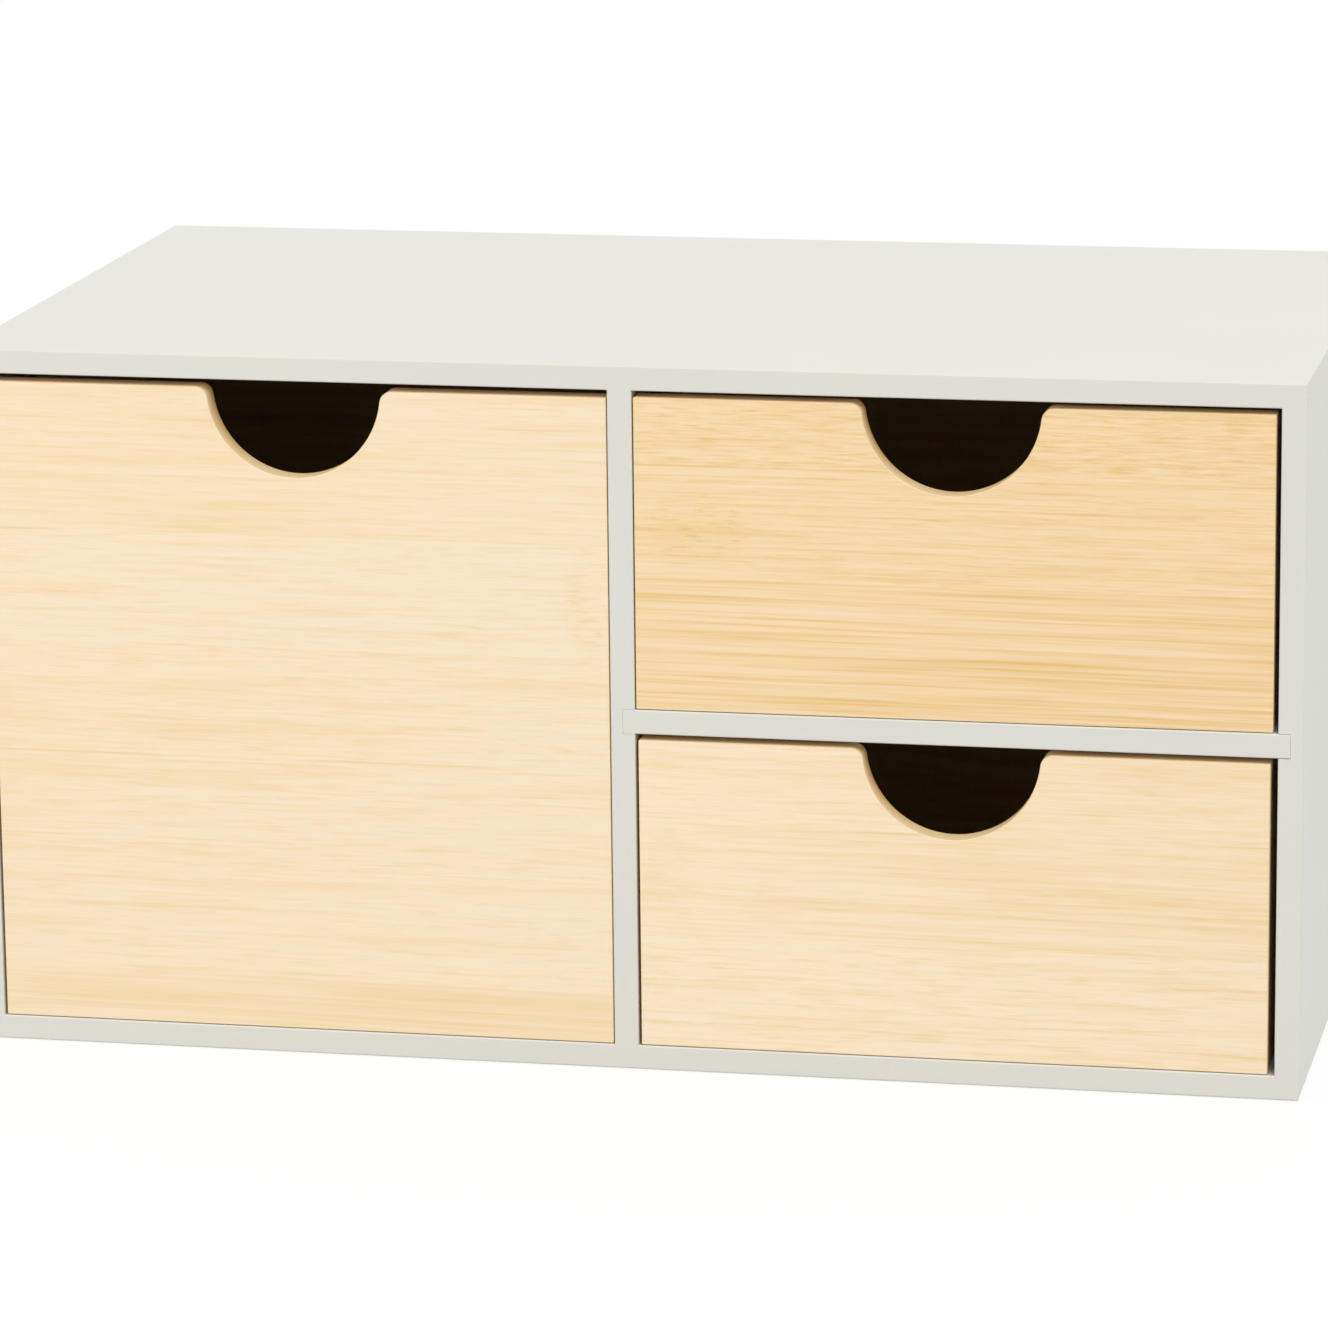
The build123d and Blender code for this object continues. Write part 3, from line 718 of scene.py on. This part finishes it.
bamboo_finish(
    "large_drawer_front",
    pale=(0.948, 0.785, 0.573, 1.0), deep=(0.91, 0.7, 0.42, 1.0),
    fibre=(0.827, 0.612, 0.246, 1.0), gleam=(0.973, 0.835, 0.687, 1.0),
    fibre_size=(12.0, 0.75), contrast=1.1,
    first_joint=18.6, first_strip=-1.0,
    picked=(
        (0.5, 0.9, 0.6, 1.0), (0.4, 0.45, 0.55, 0.12), (0.42, 0.4, 0.5, 0.18), (0.5, 0.35, 0.54, 0.26),
        (0.24, 0.4, 0.48, 0.06), (0.58, 0.5, 0.53, 0.4), (0.52, 0.45, 0.5, 0.34),
    ),
    seed=2.0, knuckles=((-8.0, 116.0, 7.0, 18.0, 0.4),),
)
bamboo_finish(
    "upper_drawer_front",
    pale=(0.92, 0.7, 0.418, 1.0), deep=(0.875, 0.603, 0.293, 1.0),
    fibre=(0.805, 0.507, 0.14, 1.0), gleam=(0.952, 0.774, 0.576, 1.0),
    fibre_size=(9.0, 0.6), contrast=1.65,
    first_joint=11.0, first_strip=2.0,
    # every strip is deeper at its right end: partly painted shade of light falling off to the right, over the
    # strips' own tone
    picked=((0.35, 1.0, 0.56, 0.9), (0.17, 0.95, 0.58, 0.67), (0.0, 0.6, 0.54, 0.45), (0.17, 0.2, 0.5, 0.67)),
    seed=5.0, knuckles=((19.0, 136.0, 14.0, 9.0, 0.6),),
)
bamboo_finish(
    "lower_drawer_front",
    pale=(0.96, 0.785, 0.558, 1.0), deep=(0.922, 0.712, 0.44, 1.0),
    fibre=(0.827, 0.612, 0.246, 1.0), gleam=(0.973, 0.835, 0.687, 1.0),
    fibre_size=(12.0, 0.75), contrast=1.45,
    first_joint=6.2, first_strip=0.0,
    # every strip is deeper at its right end: partly painted shade of light falling off to the right, over the
    # strips' own tone
    picked=((0.0, 0.4, 0.53, 0.36), (0.22, 0.65, 0.55, 0.8), (0.18, 0.5, 0.5, 0.74)),
    seed=8.0, knuckles=((11.0, 48.0, 8.0, 14.0, 0.3), (36.0, 44.0, 9.0, 6.0, 0.25)),
)


# Studio: a plain white table that runs on out of sight, just under the unit,
# with open white light all round, a wide soft lamp above and to the right, a
# weak one low on the left, and a long lens.
PLAIN_WHITE = (1.0, 1.0, 1.0, 1.0)
TABLE_REACH = 8.0
TABLE_TOP = -0.0002
TABLE_BOUNCE = (0.56, 0.56, 0.56, 1.0)
TABLE_SEEN = (0.95, 0.95, 0.95, 1.0)
TABLE_GLOSS_SHARE = 0.7
WHITE_RANGE = (0.3, 1.0)
WHITE_NEAR_UNIT = 0.8
table_mesh = bpy.data.meshes.new("table")
corners = [(TABLE_REACH * x, TABLE_REACH * y, TABLE_TOP) for x, y in ((-1, -1), (1, -1), (1, 1), (-1, 1))]
table_mesh.from_pydata(corners, [], [(0, 1, 2, 3)])
table = add_object("table", table_mesh)
table_white = bpy.data.materials.new("table_white")
table_white.use_nodes = True
tree = table_white.node_tree
tree.nodes.remove(tree.nodes["Principled BSDF"])
rays = tree.nodes.new("ShaderNodeLightPath").outputs
seen = maths(tree, "MAXIMUM", rays["Is Camera Ray"], rays["Is Transmission Ray"])
seen = maths(tree, "MAXIMUM", seen, maths(tree, "MULTIPLY", rays["Is Glossy Ray"], TABLE_GLOSS_SHARE))
tone = blend(tree, seen, TABLE_BOUNCE, TABLE_SEEN)
matt_white = put(tree, "ShaderNodeBsdfDiffuse", {"Color": tone}).outputs[0]
plain_white = put(tree, "ShaderNodeEmission", {"Color": PLAIN_WHITE, "Strength": 1.0}).outputs[0]
on_table = tree.nodes.new("ShaderNodeTexCoord").outputs["Object"]
from_unit = put(tree, "ShaderNodeVectorMath", {0: on_table}, operation="LENGTH").outputs["Value"]
farther = ramp(tree, from_unit, *WHITE_RANGE)
whiter = maths(tree, "MULTIPLY_ADD", farther, 1.0 - WHITE_NEAR_UNIT, WHITE_NEAR_UNIT)
share = maths(tree, "MULTIPLY", seen, whiter)
mixed = put(tree, "ShaderNodeMixShader", {0: share, 1: matt_white, 2: plain_white}).outputs[0]
tree.links.new(mixed, tree.nodes["Material Output"].inputs["Surface"])
table_mesh.materials.append(table_white)

SKY_LEVEL = 0.72
world = bpy.data.worlds.new("open_light")
bpy.context.scene.world = world
world.use_nodes = True
tree = world.node_tree
rays = tree.nodes.new("ShaderNodeLightPath").outputs
seen = maths(tree, "MAXIMUM", rays["Is Camera Ray"], rays["Is Glossy Ray"])
seen = maths(tree, "MAXIMUM", seen, rays["Is Transmission Ray"])
level = put(tree, "ShaderNodeMix", {0: seen, 2: SKY_LEVEL, 3: 1.0}, data_type="FLOAT").outputs[0]
tree.links.new(level, tree.nodes["Background"].inputs["Strength"])
tree.nodes["Background"].inputs["Color"].default_value = PLAIN_WHITE

LAMP_AIM = Vector((0.0, -0.05, 0.09))
for name, place, size, energy, colour in (
    ("wide_lamp", (1.6, -2.2, 3.05), 2.4, 75.0, (0.98, 0.99, 1.0)),
    ("low_lamp", (-0.75, -0.95, 0.2), 0.7, 2.2, (1.0, 0.99, 0.97)),
):
    lamp_data = bpy.data.lights.new(name, "AREA")
    lamp_data.size = size
    lamp_data.energy = energy
    lamp_data.color = colour
    lamp = add_object(name, lamp_data)
    lamp.location = place
    lamp.rotation_euler = (LAMP_AIM - lamp.location).to_track_quat("-Z", "Y").to_euler()
    lamp.visible_camera = False

camera_data = bpy.data.cameras.new("long_lens")
camera_data.lens = 172.23
camera_data.sensor_width = 36.0
camera_data.clip_end = 50.0
camera = add_object("long_lens", camera_data)
camera.location = (0.3154, -1.5591, 0.4475)
camera.rotation_euler = (radians(76.99), radians(0.597), radians(11.638))
bpy.context.scene.camera = camera
bpy.context.scene.view_settings.view_transform = "Standard"
